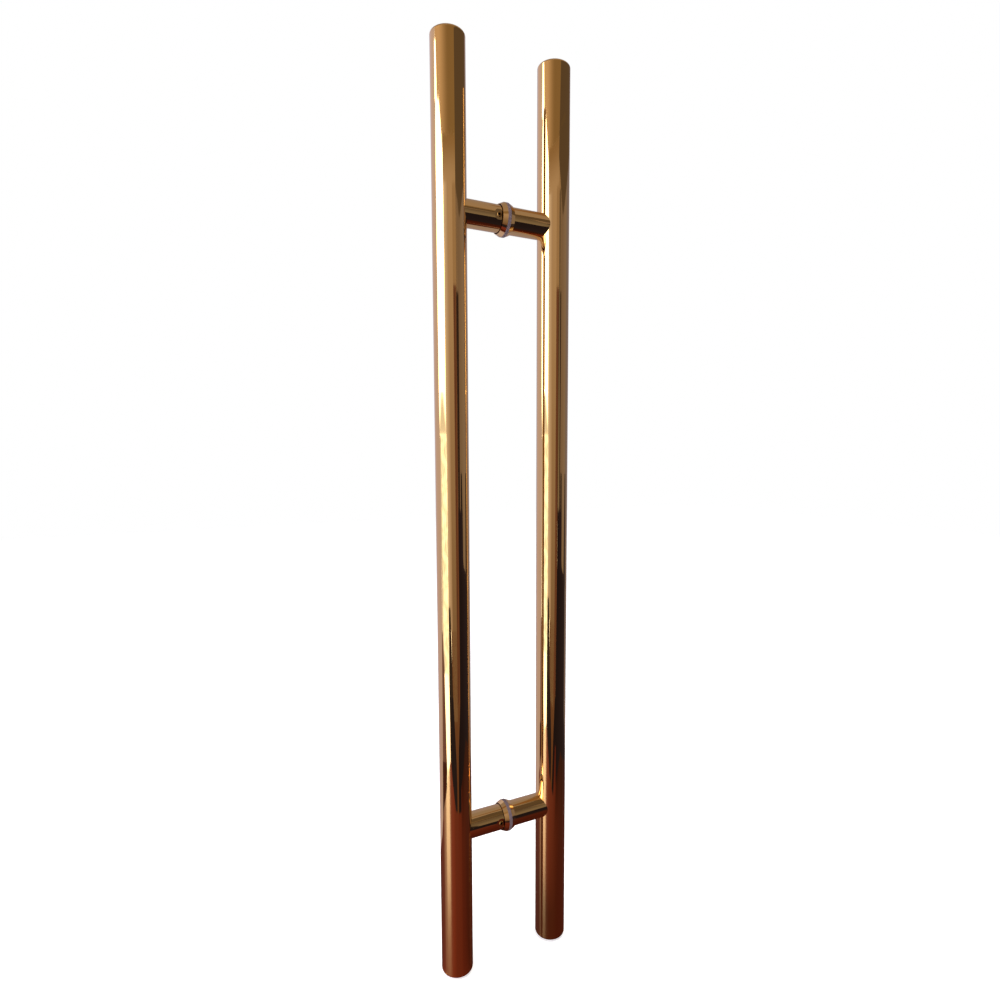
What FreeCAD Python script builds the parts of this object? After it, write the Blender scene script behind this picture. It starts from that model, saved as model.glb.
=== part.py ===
import FreeCAD, Part
import math
import os

# Back-to-back ladder pull handle for a glass door, in millimetres.
# Two tubular bars stand either side of the door. Each bar is carried on two saddle-cut posts, each post
# slides over the spigot of a tapered collar, and a stud through the door draws each pair of collars together
# on their gaskets. The origin is on the door's mid-plane, midway between the two fixings: +Z runs up along
# the bars, Y runs through the door, and the front handle is on the -Y side.
# Reach, below, is a distance from the door's mid-plane towards a bar.

# Bars and their end caps
BAR_LENGTH = 900.0
BAR_DIAMETER = 32.0
BAR_WALL = 1.5
CAP_THICKNESS = 3.0
CAP_EDGE_RADIUS = 1.8
CAP_SKIRT_LENGTH = 8.0
CAP_SKIRT_WALL = 1.5
CAP_SKIRT_LEAD_IN = 0.6
CAP_CLEARANCE = 0.05

# Posts
POST_CENTRES = 600.0
POST_DIAMETER = 25.0
POST_WALL = 3.45
POST_WEB = 9.5
POST_EDGE_CHAMFER = 0.4
POST_BORE_CHAMFER = 0.5
SADDLE_CLEARANCE = 0.02

# Collars: a cone that flares towards the door, with a relief round the seat of the post, and a spigot with a
# V groove for the locking screw
COLLAR_LENGTH = 4.3
COLLAR_STEP = 1.1
COLLAR_FLARE = 1.9
COLLAR_LIP = 0.3
RELIEF_DEPTH = 2.2
SEAT_INSET = 1.0
SPIGOT_LENGTH = 14.0
SPIGOT_CLEARANCE = 0.05
SPIGOT_CHAMFER = 0.8
GROOVE_DEPTH = 1.5

# Gaskets against the glass
GASKET_THICKNESS = 1.7
GASKET_EDGE_CHAMFER = 0.2
GASKET_CLEARANCE = 0.3

# Locking screws, each in a spot face milled in the side of a post
GRUB_DIAMETER = 5.0
GRUB_TIP_DIAMETER = 2.0
GRUB_INSET = 3.5
GRUB_PROUD = 0.8
GRUB_END_CHAMFER = 0.6
GRUB_HEX = 2.5
GRUB_HEX_DEPTH = 2.2
GRUB_SEAT_CLEARANCE = 0.05
SPOT_DIAMETER = 10.0
SPOT_DEPTH = 0.95

# Socket-head screws that hold the posts to the bar
SCREW_DIAMETER = 6.0
SCREW_HEAD_DIAMETER = 10.0
SCREW_HEAD_HEIGHT = 6.0
SCREW_HEAD_CHAMFER = 0.5
SCREW_HEAD_ROOM = 3.0
SCREW_HEX = 5.0
SCREW_HEX_DEPTH = 3.0
SCREW_TIP = 2.0
SCREW_TIP_CHAMFER = 0.6
SCREW_CLEARANCE = 0.3

# Threaded neck, drawn inwards from the bar's own wall at each post
NECK_LENGTH = 3.0
NECK_ROOT_WALL = 1.6
NECK_TIP_WALL = 0.8

# Studs through the door
STUD_DIAMETER = 8.0
STUD_INSET = 4.0
STUD_CHAMFER = 0.8
THREAD_CLEARANCE = 0.05

# Radii that follow from the sizes above
BAR_RADIUS = BAR_DIAMETER / 2
BAR_BORE_RADIUS = BAR_RADIUS - BAR_WALL
POST_RADIUS = POST_DIAMETER / 2
POST_BORE_RADIUS = POST_RADIUS - POST_WALL
SPIGOT_RADIUS = POST_BORE_RADIUS - SPIGOT_CLEARANCE
GROOVE_RADIUS = SPIGOT_RADIUS - GROOVE_DEPTH
COLLAR_REAR_RADIUS = POST_RADIUS + COLLAR_STEP
COLLAR_FACE_RADIUS = COLLAR_REAR_RADIUS + COLLAR_FLARE
GRUB_RADIUS = GRUB_DIAMETER / 2
SPOT_FLOOR = POST_RADIUS - SPOT_DEPTH
SCREW_RADIUS = SCREW_DIAMETER / 2
STUD_RADIUS = STUD_DIAMETER / 2

# Reaches, from the door's mid-plane out to the bar's axis
SHOULDER_REACH = GASKET_THICKNESS + COLLAR_LENGTH
GRUB_REACH = SHOULDER_REACH + GRUB_INSET
SPIGOT_REACH = SHOULDER_REACH + SPIGOT_LENGTH
SCREW_HEAD_REACH = SPIGOT_REACH + SCREW_HEAD_ROOM
SCREW_SEAT_REACH = SCREW_HEAD_REACH + SCREW_HEAD_HEIGHT
SADDLE_REACH = SCREW_SEAT_REACH + POST_WEB
NECK_REACH = SADDLE_REACH + BAR_WALL + NECK_LENGTH
BAR_REACH = SADDLE_REACH + BAR_RADIUS

TUBE_LENGTH = BAR_LENGTH - 2 * CAP_THICKNESS
POST_HEIGHTS = {"upper": POST_CENTRES / 2, "lower": -POST_CENTRES / 2}

V = FreeCAD.Vector
ORIGIN = V(0, 0, 0)
X_AXIS = V(1, 0, 0)
Y_AXIS = V(0, 1, 0)
Z_AXIS = V(0, 0, 1)
TO_FRONT_BAR = V(0, -1, 0)
HALF_TURN = 180
FULL_TURN = 360
HEX_SIDES = 6
SAME_PLACE = 1e-6


def spin(points, axis):
    """Turns a closed outline once round an axis through the origin."""
    outline = Part.makePolygon(points + points[:1])
    return Part.Face(outline).revolve(ORIGIN, axis, FULL_TURN)


def turned_to_bar(profile):
    """Turns (radius, reach) points about the Y axis, on the front side of the door."""
    return spin([V(radius, -reach, 0) for radius, reach in profile], Y_AXIS)


def hexagon(across_flats, depth, centre, direction):
    """Hexagonal prism for a key socket, from its mouth at centre along direction."""
    across = Z_AXIS.cross(direction)
    to_corner = across * (across_flats / math.sqrt(3))
    corners = []
    for side in range(HEX_SIDES):
        turn = FreeCAD.Rotation(direction, FULL_TURN / HEX_SIDES * side)
        corners.append(centre + turn.multVec(to_corner))
    outline = Part.makePolygon(corners + corners[:1])
    return Part.Face(outline).extrude(direction * depth)


def rounded_rim(solid, axis, place, radius, edge_radius):
    """Rounds the circular edge of a given radius that lies at a given place along an axis."""
    rims = []
    for edge in solid.Edges:
        circle = edge.Curve
        if isinstance(circle, Part.Circle) and math.isclose(circle.Radius, radius):
            if math.isclose(circle.Center.dot(axis), place, abs_tol=SAME_PLACE):
                rims.append(edge)
    return solid.makeFillet(edge_radius, rims)


def bar():
    """Front bar: a tube whose wall is drawn inwards into a threaded neck behind each post."""
    foot = V(0, -BAR_REACH, -TUBE_LENGTH / 2)
    tube = Part.makeCylinder(BAR_RADIUS, TUBE_LENGTH, foot)
    hollow = Part.makeCylinder(BAR_BORE_RADIUS, TUBE_LENGTH, foot)
    root_radius = SCREW_RADIUS + NECK_ROOT_WALL
    tip_radius = SCREW_RADIUS + NECK_TIP_WALL
    thread_radius = SCREW_RADIUS + THREAD_CLEARANCE
    neck_span = NECK_REACH - SADDLE_REACH
    threads = []
    for height in POST_HEIGHTS.values():
        mouth = V(0, -SADDLE_REACH, height)
        hollow = hollow.cut(Part.makeCone(root_radius, tip_radius, neck_span, mouth, TO_FRONT_BAR))
        threads.append(Part.makeCylinder(thread_radius, neck_span, mouth, TO_FRONT_BAR))
    return tube.cut(hollow).cut(threads)


def end_cap():
    """Cap for the top of the front bar: a disc flush with the tube, on a skirt that plugs its bore."""
    skirt_radius = BAR_BORE_RADIUS - CAP_CLEARANCE
    skirt_bore = skirt_radius - CAP_SKIRT_WALL
    seat = TUBE_LENGTH / 2
    skirt_end = seat - CAP_SKIRT_LENGTH
    top = seat + CAP_THICKNESS
    profile = [
        (0, seat),
        (skirt_bore, seat),
        (skirt_bore, skirt_end),
        (skirt_radius - CAP_SKIRT_LEAD_IN, skirt_end),
        (skirt_radius, skirt_end + CAP_SKIRT_LEAD_IN),
        (skirt_radius, seat),
        (BAR_RADIUS, seat),
        (BAR_RADIUS, top),
        (0, top),
    ]
    cap = spin([V(radius, 0, height) for radius, height in profile], Z_AXIS)
    cap = rounded_rim(cap, Z_AXIS, top, BAR_RADIUS, CAP_EDGE_RADIUS)
    return cap.translated(V(0, -BAR_REACH, 0))


def post():
    """Front post: bored for the spigot and the screw head, spot faced for the locking screw, and cut to a
    saddle where it meets the bar."""
    hole_radius = SCREW_RADIUS + SCREW_CLEARANCE
    blank = turned_to_bar([
        (POST_BORE_RADIUS + POST_BORE_CHAMFER, SHOULDER_REACH),
        (POST_RADIUS - POST_EDGE_CHAMFER, SHOULDER_REACH),
        (POST_RADIUS, SHOULDER_REACH + POST_EDGE_CHAMFER),
        (POST_RADIUS, BAR_REACH),
        (hole_radius, BAR_REACH),
        (hole_radius, SCREW_SEAT_REACH),
        (POST_BORE_RADIUS, SCREW_SEAT_REACH),
        (POST_BORE_RADIUS, SHOULDER_REACH + POST_BORE_CHAMFER),
    ])
    saddle_radius = BAR_RADIUS + SADDLE_CLEARANCE
    saddle = Part.makeCylinder(saddle_radius, BAR_DIAMETER + POST_DIAMETER)
    saddle.translate(V(0, -BAR_REACH, -(BAR_DIAMETER + POST_DIAMETER) / 2))
    thread_radius = GRUB_RADIUS + THREAD_CLEARANCE
    grub_thread = Part.makeCylinder(thread_radius, POST_RADIUS, V(0, -GRUB_REACH, 0), X_AXIS)
    spot_foot = V(SPOT_FLOOR, -GRUB_REACH, 0)
    spot_face = Part.makeCylinder(SPOT_DIAMETER / 2, POST_RADIUS, spot_foot, X_AXIS)
    return blank.cut([saddle, grub_thread, spot_face])


def collar():
    """Front collar: the tapered flange, relieved round the post's seat, and the grooved spigot."""
    thread_radius = STUD_RADIUS + THREAD_CLEARANCE
    half_floor = GRUB_TIP_DIAMETER / 2 + GRUB_SEAT_CLEARANCE
    half_mouth = half_floor + GROOVE_DEPTH
    lip_radius = COLLAR_REAR_RADIUS - COLLAR_LIP
    seat_radius = POST_RADIUS - SEAT_INSET
    relief_floor = SHOULDER_REACH - RELIEF_DEPTH
    return turned_to_bar([
        (thread_radius, GASKET_THICKNESS),
        (COLLAR_FACE_RADIUS, GASKET_THICKNESS),
        (COLLAR_REAR_RADIUS, SHOULDER_REACH),
        (lip_radius, SHOULDER_REACH),
        (lip_radius, relief_floor),
        (seat_radius, relief_floor),
        (seat_radius, SHOULDER_REACH),
        (SPIGOT_RADIUS, SHOULDER_REACH),
        (SPIGOT_RADIUS, GRUB_REACH - half_mouth),
        (GROOVE_RADIUS, GRUB_REACH - half_floor),
        (GROOVE_RADIUS, GRUB_REACH + half_floor),
        (SPIGOT_RADIUS, GRUB_REACH + half_mouth),
        (SPIGOT_RADIUS, SPIGOT_REACH - SPIGOT_CHAMFER),
        (SPIGOT_RADIUS - SPIGOT_CHAMFER, SPIGOT_REACH),
        (thread_radius, SPIGOT_REACH),
    ])


def gasket():
    """Front gasket: a moulded washer as wide as the collar's face."""
    hole_radius = STUD_RADIUS + GASKET_CLEARANCE
    return turned_to_bar([
        (hole_radius, 0),
        (COLLAR_FACE_RADIUS - GASKET_EDGE_CHAMFER, 0),
        (COLLAR_FACE_RADIUS, GASKET_EDGE_CHAMFER),
        (COLLAR_FACE_RADIUS, GASKET_THICKNESS - GASKET_EDGE_CHAMFER),
        (COLLAR_FACE_RADIUS - GASKET_EDGE_CHAMFER, GASKET_THICKNESS),
        (hole_radius, GASKET_THICKNESS),
    ])


def grub_screw():
    """Locking screw for a front post: its cone enters the spigot's groove and its key socket faces +X."""
    tip_radius = GRUB_TIP_DIAMETER / 2
    tip = GROOVE_RADIUS + GRUB_SEAT_CLEARANCE
    outer = SPOT_FLOOR + GRUB_PROUD
    profile = [
        (0, tip),
        (tip_radius, tip),
        (GRUB_RADIUS, tip + GRUB_RADIUS - tip_radius),
        (GRUB_RADIUS, outer - GRUB_END_CHAMFER),
        (GRUB_RADIUS - GRUB_END_CHAMFER, outer),
        (0, outer),
    ]
    screw = spin([V(place, radius, 0) for radius, place in profile], X_AXIS)
    screw = screw.cut(hexagon(GRUB_HEX, GRUB_HEX_DEPTH, V(outer, 0, 0), -X_AXIS))
    return screw.translated(V(0, -GRUB_REACH, 0))


def post_screw():
    """Socket-head screw seated on a front post's web and threaded into the bar's neck."""
    head_radius = SCREW_HEAD_DIAMETER / 2
    end = NECK_REACH + SCREW_TIP
    screw = turned_to_bar([
        (0, SCREW_HEAD_REACH),
        (head_radius - SCREW_HEAD_CHAMFER, SCREW_HEAD_REACH),
        (head_radius, SCREW_HEAD_REACH + SCREW_HEAD_CHAMFER),
        (head_radius, SCREW_SEAT_REACH),
        (SCREW_RADIUS, SCREW_SEAT_REACH),
        (SCREW_RADIUS, end - SCREW_TIP_CHAMFER),
        (SCREW_RADIUS - SCREW_TIP_CHAMFER, end),
        (0, end),
    ])
    return screw.cut(hexagon(SCREW_HEX, SCREW_HEX_DEPTH, V(0, -SCREW_HEAD_REACH, 0), TO_FRONT_BAR))


def through_stud():
    """Threaded rod that passes through the door and both collars."""
    end = SPIGOT_REACH - STUD_INSET
    return turned_to_bar([
        (0, -end),
        (STUD_RADIUS - STUD_CHAMFER, -end),
        (STUD_RADIUS, STUD_CHAMFER - end),
        (STUD_RADIUS, end - STUD_CHAMFER),
        (STUD_RADIUS - STUD_CHAMFER, end),
        (0, end),
    ])


def raised(shape, height):
    """A copy of a shape, moved up to a post's height."""
    return shape.translated(V(0, 0, height))


def turned_over(shape):
    """A copy of a shape, turned end for end about the X axis through the front bar's middle."""
    return shape.rotated(V(0, -BAR_REACH, 0), X_AXIS, HALF_TURN)


def to_back(shape):
    """A copy of a front piece, turned half round to the back of the door."""
    return shape.rotated(ORIGIN, Z_AXIS, HALF_TURN)


def front_pieces():
    """Every piece of the front handle that has a node of its own, by name."""
    pieces = {"bar": bar(), "top_cap": end_cap(), "bottom_cap": turned_over(end_cap())}
    for kind, shape in (("post", post()), ("collar", collar()), ("gasket", gasket())):
        for level, height in POST_HEIGHTS.items():
            pieces[f"{level}_{kind}"] = raised(shape, height)
    return pieces


def nodes():
    """Every node of the handle, by name. Like fasteners share one node as separate solids."""
    named = {}
    for name, shape in front_pieces().items():
        named[f"front_{name}"] = shape
        named[f"back_{name}"] = to_back(shape)
    for name, shape in (("grub_screws", grub_screw()), ("post_screws", post_screw())):
        front = [raised(shape, height) for height in POST_HEIGHTS.values()]
        named[name] = Part.makeCompound(front + [to_back(screw) for screw in front])
    stud = through_stud()
    named["through_studs"] = Part.makeCompound([raised(stud, height) for height in POST_HEIGHTS.values()])
    return named


os.makedirs("parts", exist_ok=True)
for node, solid in nodes().items():
    solid.exportStep(f"parts/{node}.step")
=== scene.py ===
import math

import bpy
import numpy as np
from mathutils import Matrix, Vector

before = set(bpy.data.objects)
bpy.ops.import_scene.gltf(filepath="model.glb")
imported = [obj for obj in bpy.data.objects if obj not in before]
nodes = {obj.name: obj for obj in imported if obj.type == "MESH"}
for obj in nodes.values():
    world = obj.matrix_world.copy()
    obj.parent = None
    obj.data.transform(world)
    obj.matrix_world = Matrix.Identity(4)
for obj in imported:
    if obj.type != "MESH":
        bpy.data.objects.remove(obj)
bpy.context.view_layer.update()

MM = 0.001
WHITE = "#FFFFFF"

# The Mix node's sockets by number: its factor, its pairs of numbers and of colours, and its blended colour
FACTOR, NUMBER_A, NUMBER_B, COLOUR_A, COLOUR_B = 0, 2, 3, 6, 7
BLEND = 2

# Hollows painted with dark shade: the relief in each collar, round the axis of its post, and the key
# socket in each locking screw, whose axis stands off the door's mid-plane
POST_HEIGHT = 300 * MM
RELIEF_RADIUS = 13.35 * MM
RELIEF_REACH = 6.005 * MM
SCREW_OFFSET = 9.5 * MM
SOCKET_RADIUS = 1.46 * MM
SOCKET_MOUTH = 12.3 * MM

# The studio, in metres: the floor lies just under the bars, and a round tent of cards stands on the ground
# just above it, with its axis on the front bar's. Each layer lies a little inside the one before.
FLOOR = -0.453
FLOOR_HALF = 4.0
GROUND = -0.4525
TENT_Y = -0.0545
TENT_RADIUS = 2.5
TENT_TOP = 2.4
LAYER_RISE = 0.0005
LAYER_INSET = 0.01

# Points on the grids of the cards: down and across an upright one, outwards on a sloped or level one, and
# round the ceiling and the mat
CARD_ROWS, CARD_COLUMNS = 60, 41
SHEET_ROWS = 9
CEILING_COLUMNS = 97
MAT_COLUMNS, MAT_ROWS = 181, 17

# Where the tent is drawn from: the eye's height, its distance from the tent's axis, and the least slope down
# at which the ground is worked out
EYE_HEIGHT = 0.083
EYE_DISTANCE = 0.585
LEAST_SLOPE = 0.01

# The mat under the handle: its reach in metres and its tone at azimuths in degrees, and where its side fades
MAT_LAYER = 3
MAT_TURN = (0, 14, 18, 24, 28, 45, 60, 80, 100, 112, 125,
            140, 180, 200, 225, 240, 270, 300, 310, 320, 340, 360)
MAT_REACH = (0.298, 0.30, 0.48, 0.48, 0.36, 0.45, 0.52, 0.50, 0.50, 0.48, 0.42,
             0.32, 0.187, 0.205, 0.235, 0.289, 0.342, 0.44, 0.45, 0.384, 0.305, 0.298)
# The mat's tone is painted light: lightest on its lit side, towards the camera
SHADE_TURN = (0, 60, 150, 210, 240, 280, 322, 338, 360)
SHADE = (0.33, 0.72, 0.70, 0.55, 0.38, 0.12, 0.02, 0.31, 0.33)
FADE_START, FADE_END = 26, 108
FADE_IN, FADE_OUT = 8, 14
FADE_TONE = 0.9
WAX_ROUGHNESS = 0.24

# How bright the floor shines to the camera and to mirrors, and how bright the world is where it only lights
FLOOR_SHINE = 0.55
WORLD_FILL = 0.45

# The camera: its place in metres, its lens and sensor in millimetres, and its turns in degrees
CAMERA_PLACE = (0.548387, -0.255963, 0.082962)
CAMERA_YAW, CAMERA_PITCH, CAMERA_ROLL = 63.871, -5.649, -0.043
CAMERA_LENS = 21.913
CAMERA_SENSOR = 36.0
CAMERA_SHIFT = (-0.01576, 0.008825)
CAMERA_CLIP = 0.01


def linear(code):
    """sRGB hex to linear RGBA: c/12.92 below 0.04045, else ((c + 0.055)/1.055)^2.4."""
    c = np.array([int(code[i:i + 2], 16) for i in (1, 3, 5)]) / 255.0
    c = np.where(c < 0.04045, c / 12.92, ((c + 0.055) / 1.055) ** 2.4)
    return (*c.tolist(), 1.0)


def ease(t):
    """Smooth step 3t^2 - 2t^3, with t held in 0 to 1."""
    t = np.clip(t, 0.0, 1.0)
    return t * t * (3 - 2 * t)


def add(tree, kind, inputs=None, **settings):
    """Adds one node; an input is a constant, or a socket to link from."""
    node = tree.nodes.new(kind)
    for key, value in settings.items():
        setattr(node, key, value)
    for key, value in (inputs or {}).items():
        if isinstance(value, bpy.types.NodeSocket):
            tree.links.new(value, node.inputs[key])
        else:
            node.inputs[key].default_value = value
    return node


def new_material(name):
    """A material with its tree and its surface shader."""
    mat = bpy.data.materials.new(name)
    mat.use_nodes = True
    return mat, mat.node_tree, mat.node_tree.nodes["Principled BSDF"]


def painted_hollow_shade(tree, place):
    """1 in the hollows painted with dark shade, else 0: points within the radius of a hollow's axis that lie
    under its mouth. Absolute coordinates fold the four posts onto one."""
    folded = add(tree, "ShaderNodeVectorMath", {0: place}, operation="ABSOLUTE").outputs[0]
    apart = add(tree, "ShaderNodeSeparateXYZ", {0: folded}).outputs
    relief = ((0, 0, POST_HEIGHT), (1, 0, 1), RELIEF_RADIUS, "Y", RELIEF_REACH)
    socket = ((0, SCREW_OFFSET, POST_HEIGHT), (0, 1, 1), SOCKET_RADIUS, "X", SOCKET_MOUTH)
    hollows = []
    for axis, mask, radius, along, mouth in (relief, socket):
        offset = add(tree, "ShaderNodeVectorMath", {0: folded, 1: axis}, operation="SUBTRACT")
        offset = add(tree, "ShaderNodeVectorMath", {0: offset.outputs[0], 1: mask}, operation="MULTIPLY")
        far = add(tree, "ShaderNodeVectorMath", {0: offset.outputs[0]}, operation="LENGTH").outputs["Value"]
        near = add(tree, "ShaderNodeMath", {0: far, 1: radius}, operation="LESS_THAN").outputs[0]
        under = add(tree, "ShaderNodeMath", {0: apart[along], 1: mouth}, operation="LESS_THAN").outputs[0]
        hollows.append(add(tree, "ShaderNodeMath", {0: near, 1: under}, operation="MULTIPLY").outputs[0])
    return add(tree, "ShaderNodeMath", {0: hollows[0], 1: hollows[1]}, operation="MAXIMUM").outputs[0]


def gold_coated_steel(name, low, high, least, most):
    """Stainless steel vapour-coated gold, which mirrors the studio in gold. Its tint drifts from low to high
    and its roughness from least to most with haze 60 mm across, polishing waves 9 mm long bend the mirror
    image a little, and narrow hollows get painted shade: near-black and rougher."""
    haze_size = 60 * MM
    wave_length = 9 * MM
    wave_height = 0.2 * MM
    # Painted shade: the hollows are painted near-black and made rougher
    hollow_shade_tint = linear("#120E0B")
    hollow_roughness = 0.5
    mat, tree, shader = new_material(name)
    place = add(tree, "ShaderNodeTexCoord").outputs["Object"]
    haze = add(tree, "ShaderNodeTexNoise",
               {"Vector": place, "Scale": 1 / haze_size, "Detail": 2.0}).outputs[0]
    wave = add(tree, "ShaderNodeTexNoise",
               {"Vector": place, "Scale": 1 / wave_length, "Detail": 1.0}).outputs[0]
    hollow_shade = painted_hollow_shade(tree, place)
    tint = add(tree, "ShaderNodeMix",
               {FACTOR: haze, COLOUR_A: linear(low), COLOUR_B: linear(high)}, data_type="RGBA")
    # Painted shade in the hollows
    tint = add(tree, "ShaderNodeMix",
               {FACTOR: hollow_shade, COLOUR_A: tint.outputs[BLEND], COLOUR_B: hollow_shade_tint}, data_type="RGBA")
    gloss = add(tree, "ShaderNodeMapRange", {"Value": haze, "To Min": least, "To Max": most}).outputs[0]
    gloss = add(tree, "ShaderNodeMix", {FACTOR: hollow_shade, NUMBER_A: gloss, NUMBER_B: hollow_roughness})
    bump = add(tree, "ShaderNodeBump", {"Height": wave, "Strength": 0.02, "Distance": wave_height})
    tree.links.new(tint.outputs[BLEND], shader.inputs["Base Color"])
    tree.links.new(gloss.outputs[0], shader.inputs["Roughness"])
    tree.links.new(bump.outputs[0], shader.inputs["Normal"])
    shader.inputs["Metallic"].default_value = 1.0
    return mat


def soft_pvc():
    """Moulded soft PVC of the gaskets: grey, a little glossy, cloudy with marks 4 mm across."""
    cloud_size = 4 * MM
    mat, tree, shader = new_material("grey_soft_pvc")
    place = add(tree, "ShaderNodeTexCoord").outputs["Object"]
    cloud = add(tree, "ShaderNodeTexNoise",
                {"Vector": place, "Scale": 1 / cloud_size, "Detail": 3.0}).outputs[0]
    tint = add(tree, "ShaderNodeMix",
               {FACTOR: cloud, COLOUR_A: linear("#68585E"), COLOUR_B: linear("#76666C")}, data_type="RGBA")
    gloss = add(tree, "ShaderNodeMapRange", {"Value": cloud, "To Min": 0.42, "To Max": 0.55})
    tree.links.new(tint.outputs[BLEND], shader.inputs["Base Color"])
    tree.links.new(gloss.outputs[0], shader.inputs["Roughness"])
    shader.inputs["IOR"].default_value = 1.53
    shader.inputs["Specular IOR Level"].default_value = 0.3
    return mat


def screw_steel():
    """Oiled alloy steel of the screws: grey and satin, with turning marks 0.3 mm apart."""
    mark_spacing = 0.3 * MM
    mat, tree, shader = new_material("oiled_screw_steel")
    place = add(tree, "ShaderNodeTexCoord").outputs["Object"]
    marks = add(tree, "ShaderNodeTexNoise",
                {"Vector": place, "Scale": 1 / mark_spacing, "Detail": 2.0}).outputs[0]
    tint = add(tree, "ShaderNodeMix",
               {FACTOR: marks, COLOUR_A: linear("#8A8078"), COLOUR_B: linear("#A79C92")}, data_type="RGBA")
    gloss = add(tree, "ShaderNodeMapRange", {"Value": marks, "To Min": 0.22, "To Max": 0.36})
    tree.links.new(tint.outputs[BLEND], shader.inputs["Base Color"])
    tree.links.new(gloss.outputs[0], shader.inputs["Roughness"])
    shader.inputs["Metallic"].default_value = 1.0
    return mat


def grid_object(name, points):
    """A sheet of quads on a grid of points, rows by columns by 3."""
    rows, columns = points.shape[:2]
    corner = np.arange(rows * columns).reshape(rows, columns)
    faces = np.stack([corner[:-1, :-1], corner[1:, :-1], corner[1:, 1:], corner[:-1, 1:]], axis=-1)
    mesh = bpy.data.meshes.new(name)
    mesh.from_pydata(points.reshape(-1, 3).tolist(), [], faces.reshape(-1, 4).tolist())
    sheet = bpy.data.objects.new(name, mesh)
    bpy.context.scene.collection.objects.link(sheet)
    return sheet


def glow(sheet, tone, low, high, strength, sheen=0.0):
    """Lets a card shine, colour low where tone is 0 and high where it is 1, with a waxed sheen or none.
    The card stays out of the picture and out of the light: only mirror finishes show it."""
    mesh = sheet.data
    shade = mesh.attributes.new("tone", "FLOAT", "POINT")
    shade.data.foreach_set("value", np.ascontiguousarray(tone, dtype=np.float32).ravel())
    mat, tree, shader = new_material(sheet.name)
    part = add(tree, "ShaderNodeAttribute", attribute_name="tone").outputs["Fac"]
    tint = add(tree, "ShaderNodeMix",
               {FACTOR: part, COLOUR_A: linear(low), COLOUR_B: linear(high)}, data_type="RGBA")
    tree.links.new(tint.outputs[BLEND], shader.inputs["Emission Color"])
    shader.inputs["Emission Strength"].default_value = strength
    shader.inputs["Base Color"].default_value = linear("#000000")
    shader.inputs["Roughness"].default_value = WAX_ROUGHNESS
    shader.inputs["Specular IOR Level"].default_value = sheen
    mesh.materials.append(mat)
    sheet.visible_camera = False
    sheet.visible_diffuse = False
    sheet.visible_shadow = False


def around(turn, reach, height):
    """The point at azimuth turn in degrees, at a reach from the tent's axis: (r cos a, y + r sin a, z)."""
    a = np.radians(turn)
    return np.stack([reach * np.cos(a), TENT_Y + reach * np.sin(a), height + 0 * a], axis=-1)


def fold(layer):
    """The sight-line slope at the foot of the tent's wall, -h/(d + R)."""
    return -(EYE_HEIGHT - GROUND - LAYER_RISE * layer) / (EYE_DISTANCE + TENT_RADIUS - LAYER_INSET * layer)


def tent(turn, slope, layer):
    """The point of the tent that an upright mirror bar shows at azimuth turn and sight-line slope s:
    on the wall, height z = eye + (d + R) s; under the foot of the wall, on the ground at radius h/|s| - d."""
    radius = TENT_RADIUS - LAYER_INSET * layer
    ground = GROUND + LAYER_RISE * layer
    on_ground = slope < fold(layer)
    ground_reach = (EYE_HEIGHT - ground) / np.maximum(-slope, LEAST_SLOPE) - EYE_DISTANCE
    wall_height = EYE_HEIGHT + (EYE_DISTANCE + radius) * slope
    return around(turn, np.where(on_ground, ground_reach, radius), np.where(on_ground, ground, wall_height))


def card(name, layer, slopes, left, right, low, high=None, strength=1.0, tone=None):
    """A card ruled between two edges: at each slope it spans from left to right azimuth, in degrees, and an
    upright edge is one azimuth. Its tone is tone(u, v), where u runs from left to right and v downwards."""
    top, bottom = slopes[0], slopes[-1]
    levels = np.append(np.linspace(top, bottom, CARD_ROWS), np.clip(fold(layer), bottom, top))
    slope, u = np.meshgrid(np.unique(levels)[::-1], np.linspace(0, 1, CARD_COLUMNS), indexing="ij")
    v = (top - slope) / (top - bottom)
    knots = -np.array(slopes)
    start, end = (np.interp(-slope, knots, np.broadcast_to(edge, knots.shape)) for edge in (left, right))
    shade = tone(u, v) if tone else 0 * u
    glow(grid_object(name, tent(start + u * (end - start), slope, layer)), shade, low, high or low, strength)


def across(u, v):
    """Tone that rises from left to right."""
    return ease(u)


def down(u, v):
    """Tone that rises from top to bottom."""
    return ease(v)


def late_rise(u, v):
    """Tone that rises over the last third from left to right."""
    return ease(3 * u - 2)


def frieze_rise(u, v):
    """Tone that rises from about a sixth of the width to six tenths of it."""
    return ease(2.2 * u - 0.35)


def quick_rise(u, v):
    """Tone that rises fast at the left edge and ever slower to the right: u^0.6."""
    return u ** 0.6


def stripes(u, v):
    """Three upright cosine stripes: 1 at both edges, 0 midway in each stripe."""
    return 0.5 + 0.5 * np.cos(6 * np.pi * u)


def sill_tongue(u, v):
    """Bright down the sides, with a darker tongue that widens downwards, and a lit rim at the foot."""
    return ease(1.3 - 1.3 * v - 0.9 * np.sin(np.pi * u) ** 2) + 0.6 * ease(20 * v - 18.5)


def mottle(u, v):
    """Crossed sine waves, bent by a third one, that rise out of a dark left edge."""
    return ease(3 * u) * (0.5 + 0.4 * np.sin(14 * u + 5 * np.sin(31 * v)) * np.cos(47 * v - 9 * u))


def ceiling_card(low, high):
    """A disc over the tent, P(a, r) = (r cos a, r sin a, top), from low at the +X side to high at -X."""
    a, r = np.meshgrid(np.linspace(0, 360, CEILING_COLUMNS), np.linspace(0, TENT_RADIUS, SHEET_ROWS),
                       indexing="ij")
    points = around(a, r, TENT_TOP)
    tone = ease(0.5 - 0.5 * points[..., 0] / TENT_RADIUS)
    glow(grid_object("ceiling_card", points), tone, low, high, strength=1.0)


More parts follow.
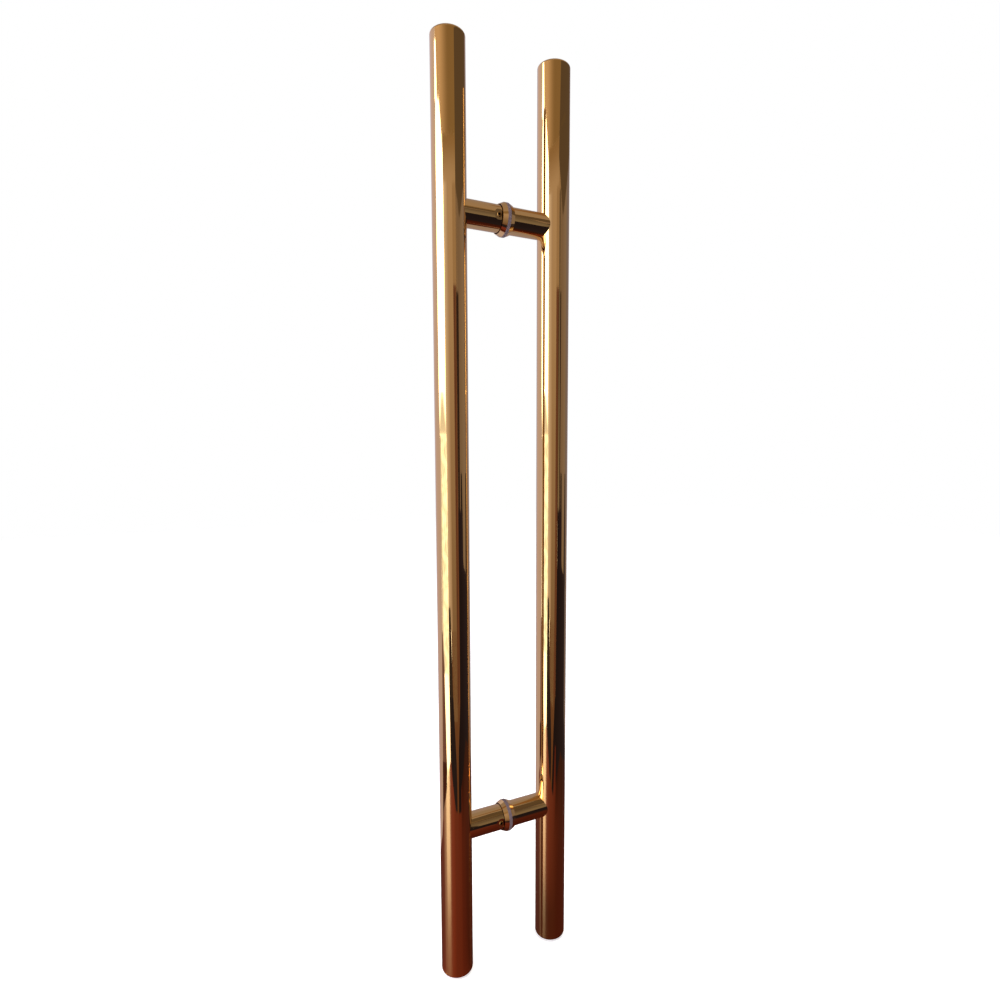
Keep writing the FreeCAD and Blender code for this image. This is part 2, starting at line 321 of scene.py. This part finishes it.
def sloped_card(name, turns, inner, outer, tint, strength=1.0):
    """A card that climbs away from the handle, P(a, t) = (r cos a, r sin a, z), where (r, z) goes straight
    from inner to outer. It lies along the bars' sight lines, so they show little more than its edge."""
    a, t = np.meshgrid(np.linspace(*turns, CARD_COLUMNS), np.linspace(0, 1, SHEET_ROWS), indexing="ij")
    reach, height = (start + t * (end - start) for start, end in zip(inner, outer))
    glow(grid_object(name, around(a, reach, height)), 0 * t, tint, tint, strength)


def russet_mat(low, high):
    """A waxed mat under the handle: P(a, k) = k R(a) (cos a, sin a), R through MAT_REACH. Its glow has
    painted light, lightest towards the camera on its lit side, and its far right side fades out towards the
    rim."""
    a, k = np.meshgrid(np.linspace(0, 360, MAT_COLUMNS), np.linspace(0, 1, MAT_ROWS), indexing="ij")
    points = around(a, k * np.interp(a, MAT_TURN, MAT_REACH), GROUND + MAT_LAYER * LAYER_RISE)
    # Painted light: lightest towards the camera, on the mat's lit side
    tone = np.interp(a, SHADE_TURN, SHADE)
    fade = ease((a - FADE_START) / FADE_IN) * ease((FADE_END - a) / FADE_OUT) * ease(2 * k - 1)
    tone += (FADE_TONE - tone) * fade
    glow(grid_object("russet_mat", points), tone, low, high, strength=1.0, sheen=0.3)


def seen_directly(tree):
    """1 for rays from the camera, off mirrors and through clear things; 0 for rays that only gather light."""
    ray = add(tree, "ShaderNodeLightPath").outputs
    seen = add(tree, "ShaderNodeMath", {0: ray["Is Camera Ray"], 1: ray["Is Glossy Ray"]}, operation="ADD")
    seen = add(tree, "ShaderNodeMath", {0: seen.outputs[0], 1: ray["Is Transmission Ray"]}, operation="ADD")
    return seen.outputs[0]


def white_floor():
    """Matte white paper, a square 8 m wide: it takes the shadow, and is white to the camera and to mirrors.
    Its fibres are too fine to show, so their grain is drawn 3 mm across."""
    grain_size = 3 * MM
    x, y = np.meshgrid([-FLOOR_HALF, FLOOR_HALF], [-FLOOR_HALF, FLOOR_HALF], indexing="ij")
    floor = grid_object("floor", np.stack([x, y, 0 * x + FLOOR], axis=-1))
    mat, tree, shader = new_material("matte_white_paper")
    place = add(tree, "ShaderNodeTexCoord").outputs["Object"]
    grain = add(tree, "ShaderNodeTexNoise",
                {"Vector": place, "Scale": 1 / grain_size, "Detail": 2.0}).outputs[0]
    tint = add(tree, "ShaderNodeMix",
               {FACTOR: grain, COLOUR_A: linear("#F4F4F4"), COLOUR_B: linear("#FCFCFC")}, data_type="RGBA")
    tree.links.new(tint.outputs[BLEND], shader.inputs["Base Color"])
    shader.inputs["Roughness"].default_value = 0.9
    shader.inputs["Specular IOR Level"].default_value = 0.0
    shader.inputs["Emission Color"].default_value = linear(WHITE)
    shine = add(tree, "ShaderNodeMapRange",
                {"Value": seen_directly(tree), "To Min": 0.0, "To Max": FLOOR_SHINE})
    tree.links.new(shine.outputs[0], shader.inputs["Emission Strength"])
    floor.data.materials.append(mat)


def white_world():
    """White behind the handle, softer where it only lights the scene."""
    world = bpy.data.worlds.new("white_studio")
    bpy.context.scene.world = world
    world.use_nodes = True
    tree = world.node_tree
    level = add(tree, "ShaderNodeMapRange",
                {"Value": seen_directly(tree), "To Min": WORLD_FILL, "To Max": 1.0})
    tree.nodes["Background"].inputs["Color"].default_value = linear(WHITE)
    tree.links.new(level.outputs[0], tree.nodes["Background"].inputs["Strength"])


def area_lamp(name, place, size, power, tint):
    """A soft square lamp aimed at the middle of the handle; mirrors show the cards instead of it."""
    lamp = bpy.data.lights.new(name, "AREA")
    lamp.size = size
    lamp.energy = power
    lamp.color = linear(tint)[:3]
    holder = bpy.data.objects.new(name, lamp)
    holder.location = place
    holder.rotation_euler = Vector(place).to_track_quat("Z", "Y").to_euler()
    holder.visible_glossy = False
    bpy.context.scene.collection.objects.link(holder)


def studio_camera():
    """A camera aimed by yaw, pitch and roll, a hand's breadth above the middle, looking across both bars."""
    yaw, pitch, roll = (math.radians(turn) for turn in (CAMERA_YAW, CAMERA_PITCH, CAMERA_ROLL))
    look = Vector((-math.sin(yaw) * math.cos(pitch), math.cos(yaw) * math.cos(pitch), math.sin(pitch)))
    right = Vector((math.cos(yaw), math.sin(yaw), 0.0))
    up = right.cross(look)
    camera = bpy.data.objects.new("camera", bpy.data.cameras.new("camera"))
    camera.data.lens = CAMERA_LENS
    camera.data.sensor_width = CAMERA_SENSOR
    camera.data.shift_x, camera.data.shift_y = CAMERA_SHIFT
    camera.data.clip_start = CAMERA_CLIP
    aim = Matrix((right, up, -look)).transposed() @ Matrix.Rotation(roll, 3, "Z")
    camera.matrix_world = Matrix.Translation(CAMERA_PLACE) @ aim.to_4x4()
    bpy.context.scene.collection.objects.link(camera)
    bpy.context.scene.camera = camera


# Polished pieces mirror cleanly; the locking screws, only turned, blur what they mirror
gold = gold_coated_steel("gold_coated_polished_steel", "#E2BD82", "#E6C28A", least=0.03, most=0.06)
turned_gold = gold_coated_steel("gold_coated_turned_steel", "#A27C48", "#AE8852", least=0.40, most=0.50)
pvc = soft_pvc()
steel = screw_steel()
finish = {"grub_screws": turned_gold, "post_screws": steel, "through_studs": steel}
for name, node in nodes.items():
    node.data.materials.clear()
    node.data.materials.append(finish.get(name, pvc if "gasket" in name else gold))

white_floor()
white_world()
area_lamp("key_softbox", (0.4, -2.2, 1.0), size=1.6, power=60, tint="#F2F0FF")
area_lamp("overhead_fill", (0.6, 0.4, 2.2), size=1.8, power=30, tint="#FFF4E6")

# Walls of the tent, each with its layer, its slopes from top to bottom, and its left and right edges
card("cool_wall", 0, (0.76, -0.75), 185, 252, "#D8CEE4", "#CABED4", tone=down)
card("rear_wall", 0, (0.76, -0.75), 120, 185, "#A99FAD", "#D1C6DC", tone=late_rise)
card("warm_frieze", 0, (0.76, 0.48), 252, 402, "#DBC0A8", "#917A5B", tone=frieze_rise)
card("frieze_edge", 0, (0.48, 0.41), 300, 376, "#9A8062", "#BCA898", tone=down)
card("bright_wall", 0, (0.42, -0.3), 300, 332, "#FFF8FF", "#B4A094", tone=quick_rise)
card("tan_wall", 0, (0.42, -0.45), 332, 360, "#BDA999", "#8A7666", tone=down)
card("tan_over_flags", 0, (0.44, 0.2), 358, 395, "#A8927E")
card("grey_wall", 0, (0.46, -0.3), 390, 442, "#85766F", "#918583", tone=across)
card("back_wall", 0, (0.76, -0.75), 440, 480, "#847E8C")
card("dark_frieze", 1, (0.76, 0.45, 0.36), (397, 373, 404), (480, 480, 412), "#62554A")

# Upright flags in front of the walls
card("rust_flag", 1, (0.255, -0.42), 360, 376.5, "#8A5E4E", "#4E3832", tone=stripes)
card("dark_edge", 1, (0.25, -0.12), 376.5, 379, "#2E2426")
card("olive_flag", 1, (0.40, -0.10), 379, 389.5, "#6B6058", "#8C8276", tone=down)
card("dark_flag", 1, (0.245, -0.12), 389.5, (397, 396), "#2A2022", "#3C3032", tone=across)

# The tall softbox that gives the bars their highlight, from its wing at the top to the board at its foot
card("softbox_main", 1, (0.53, 0.50, 0.45, 0.30, 0.09), (252, 248, 247, 247, 249), (278, 287, 299, 302, 301),
     WHITE, strength=5.0)
card("softbox_wing", 1, (0.615, 0.53), (246, 245), (258, 262), WHITE, strength=5.0)
card("softbox_sill", 1, (0.09, 0.02), (249, 251), (301, 303), "#8C8E92", WHITE, strength=4.0,
     tone=sill_tongue)
card("softbox_skirt", 1, (0.02, -0.17, -0.30, -0.37), (252, 253, 254, 268), (306, 305, 304, 302),
     "#7E8088", WHITE, strength=3.2, tone=mottle)
card("bright_board", 1, (-0.37, -0.40, -0.46, -0.53), (268, 270, 276, 281), (297, 303, 305, 300),
     WHITE, strength=3.5)

# Boards on the ground, which darken the lower half of the bars
card("brown_board", 1, (-0.30, -0.37, -0.52), (248, 246, 243), (254, 268, 279), "#7A5E62")
card("dark_strip", 1, (-0.52, -0.66), (241, 236), (280, 272), "#4C2C2A")
card("dark_board", 1, (-0.26, -0.41, -0.52), (306, 304, 308), (318, 329, 342), "#383132")
card("dark_foot", 2, (-0.41, -0.52, -0.56, -0.68), (304, 308, 320, 330), (331, 349, 352, 352), "#2B252E")
card("brown_foot", 0, (-0.30, -0.68), 325, 376, "#775A4A", "#6B4630", tone=down)
card("dark_ground", 1, (-0.10, -0.19, -0.21, -0.42, -0.50, -0.70), (377, 377, 376, 371, 364, 360),
     (413, 414, 452, 452, 472, 478), "#221C24", "#302936", tone=across)
card("dark_tab", 1, (-0.04, -0.11), (400, 399), (410, 412), "#2A242A")
card("dark_side_tab", 1, (-0.04, -0.22), (440, 434), (450, 455), "#3C343C")

# Cards overhead and along the sight lines, and the mat that they light
ceiling_card("#AC9A8C", "#A09494")
sloped_card("dark_canopy", (16, 66), (0.37, 0.54), (1.3, 1.0), "#665849")
sloped_card("softbox_for_mat", (268, 297), (1.0, 0.2415), (2.4, 0.3815), WHITE, strength=20.0)
russet_mat("#7E3326", "#1E0B0B")

studio_camera()
bpy.context.scene.view_settings.view_transform = "Standard"
